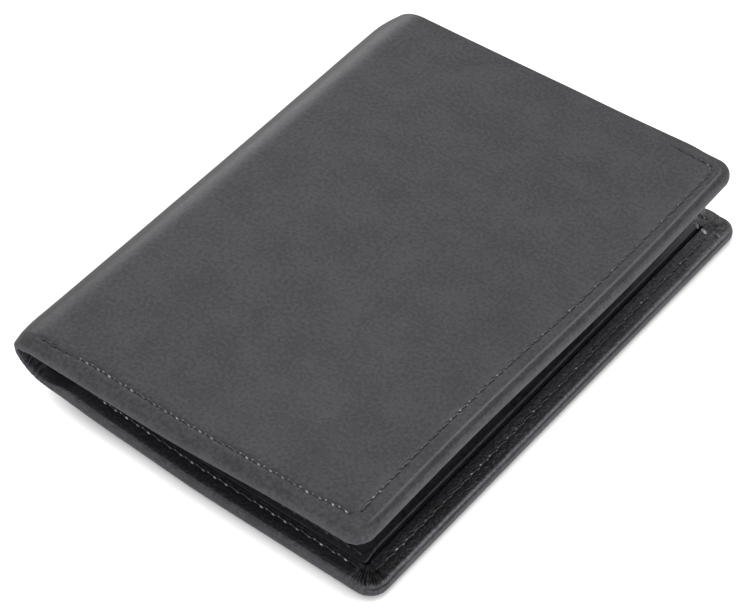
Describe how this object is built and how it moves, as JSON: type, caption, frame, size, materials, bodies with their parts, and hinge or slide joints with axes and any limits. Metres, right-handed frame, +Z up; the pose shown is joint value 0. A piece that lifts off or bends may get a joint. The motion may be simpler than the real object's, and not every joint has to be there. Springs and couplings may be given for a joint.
{
  "type": "bifold wallet",
  "caption": "Portrait bifold wallet lying closed, with turned and stitched edges, a note compartment, stepped card slots and a coin pocket with a press-stud flap.",
  "frame": {"origin": "middle of the closed wallet's outline, on the surface that it lies on", "axes": "+X from the spine towards the opening edge, +Y along the spine towards the open mouth of the note compartment, +Z up through the closed halves"},
  "size_m": [0.0932, 0.125, 0.0179],
  "materials": {
    "outer_leather": "smooth charcoal nappa with a soft satin sheen",
    "inner_leather": "smooth black leather, slightly glossier than the outside",
    "lining_cloth": "thin black woven lining",
    "stud_metal": "plain nickelled steel",
    "cap_metal": "dark nickel, polished"
  },
  "bodies": {
    "back_half": {"back_cover_leather": "outer_leather", "back_note_lining": "lining_cloth", "back_note_divider": "lining_cloth", "back_inner_panel": "inner_leather", "coin_pocket_gusset": "lining_cloth", "coin_pocket_front": "inner_leather", "coin_flap_strip": "inner_leather", "stud_post": "stud_metal"},
    "spine": {"spine_leather": "outer_leather", "spine_note_lining": "lining_cloth", "spine_note_divider": "lining_cloth"},
    "front_half": {"front_cover_leather": "outer_leather", "front_note_lining": "lining_cloth", "front_note_divider": "lining_cloth", "front_inner_panel": "inner_leather", "card_slot_1": "inner_leather", "card_slot_2": "inner_leather", "card_slot_3": "inner_leather"},
    "coin_flap": {"coin_flap_leather": "inner_leather", "stud_socket": "stud_metal", "stud_cap": "cap_metal"}
  },
  "joints": [
    {"name": "spine_fold", "type": "hinge", "parent": "back_half", "child": "spine", "pos_m": [-0.04398, 0, 0.00527], "axis": [0, -1, 0], "range_deg": [0, 88]},
    {"name": "cover_fold", "type": "hinge", "parent": "spine", "child": "front_half", "pos_m": [-0.04496, 0, 0.01339], "axis": [0, -1, 0], "range_deg": [0, 88]},
    {"name": "flap_fold", "type": "hinge", "parent": "back_half", "child": "coin_flap", "pos_m": [0.01115, 0.0137, 0.0049], "axis": [-1, 0, 0], "range_deg": [0, 125]}
  ],
  "couplings": [
    {"joint": "spine_fold", "follows": "cover_fold", "ratio": 1},
    {"joint": "flap_fold", "follows": "cover_fold", "ratio": 1.4}
  ]
}
